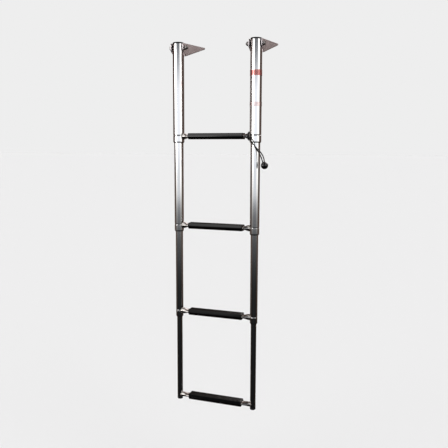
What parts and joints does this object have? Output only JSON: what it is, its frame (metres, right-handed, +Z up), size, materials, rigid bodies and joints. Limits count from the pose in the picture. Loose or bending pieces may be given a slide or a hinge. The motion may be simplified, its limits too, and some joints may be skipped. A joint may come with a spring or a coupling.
{
  "type": "telescoping boarding ladder",
  "caption": "Telescoping stainless boarding ladder for a swim platform, with ribbed black treads, tapering deck brackets that let it fold up, and a ball-ended retaining strap.",
  "frame": {"origin": "on the deck plane, straight below the pivot axis and midway between the two deck brackets", "axes": "+X across the ladder to its right side seen from the climber's side, +Y towards the boat, +Z up along the plumb legs; the deck plane rises towards the boat by 15.7 degrees"},
  "size_m": [0.3545, 0.2246, 1.2579],
  "materials": {
    "polished_steel": "mirror-polished stainless tube",
    "satin_steel": "satin stainless sheet",
    "fastener_steel": "bright stainless fasteners",
    "tread_plastic": "moulded black plastic with a soft sheen",
    "bush_plastic": "black nylon",
    "washer_nylon": "natural nylon",
    "band_red": "thin printed film, plain",
    "cord_black": "braided elastic cord",
    "ball_plastic": "glossy moulded ball"
  },
  "bodies": {
    "brackets": {"left_bracket": "satin_steel", "left_pivot_bolt": "fastener_steel", "left_pivot_nut": "fastener_steel", "left_outer_flat_washer": "fastener_steel", "left_inner_flat_washer": "fastener_steel", "left_outer_side_washer": "washer_nylon", "left_inner_side_washer": "washer_nylon", "right_bracket": "satin_steel", "right_pivot_bolt": "fastener_steel", "right_pivot_nut": "fastener_steel", "right_outer_flat_washer": "fastener_steel", "right_inner_flat_washer": "fastener_steel", "right_outer_side_washer": "washer_nylon", "right_inner_side_washer": "washer_nylon"},
    "section_1": {"left_tube_1": "polished_steel", "left_top_cap": "bush_plastic", "left_pivot_sleeve": "fastener_steel", "left_lower_bush_1": "bush_plastic", "right_tube_1": "polished_steel", "right_top_cap": "bush_plastic", "right_pivot_sleeve": "fastener_steel", "right_lower_bush_1": "bush_plastic", "rung_1": "polished_steel", "tread_1": "tread_plastic", "band_1": "band_red", "band_2": "band_red", "strap_hitch": "cord_black", "strap_strand_a": "cord_black", "strap_strand_b": "cord_black", "strap_ball": "ball_plastic"},
    "section_2": {"left_tube_2": "polished_steel", "left_slider_2": "bush_plastic", "left_lower_bush_2": "bush_plastic", "right_tube_2": "polished_steel", "right_slider_2": "bush_plastic", "right_lower_bush_2": "bush_plastic", "rung_2": "polished_steel", "tread_2": "tread_plastic"},
    "section_3": {"left_tube_3": "polished_steel", "left_slider_3": "bush_plastic", "left_lower_bush_3": "bush_plastic", "right_tube_3": "polished_steel", "right_slider_3": "bush_plastic", "right_lower_bush_3": "bush_plastic", "rung_3": "polished_steel", "tread_3": "tread_plastic"},
    "section_4": {"left_tube_4": "polished_steel", "left_slider_4": "bush_plastic", "left_foot_cap": "bush_plastic", "right_tube_4": "polished_steel", "right_slider_4": "bush_plastic", "right_foot_cap": "bush_plastic", "rung_4": "polished_steel", "tread_4": "tread_plastic"}
  },
  "joints": [
    {"name": "ladder_swing", "type": "hinge", "parent": "brackets", "child": "section_1", "pos_m": [0, 0, 0.0307], "axis": [1, 0, 0], "range_deg": [-254.3, 3]},
    {"name": "section_2_slide", "type": "slide", "parent": "section_1", "child": "section_2", "axis": [0, 0, 1], "range_m": [0, 0.26]},
    {"name": "section_3_slide", "type": "slide", "parent": "section_2", "child": "section_3", "axis": [0, 0, 1], "range_m": [0, 0.26]},
    {"name": "section_4_slide", "type": "slide", "parent": "section_3", "child": "section_4", "axis": [0, 0, 1], "range_m": [0, 0.26]}
  ]
}
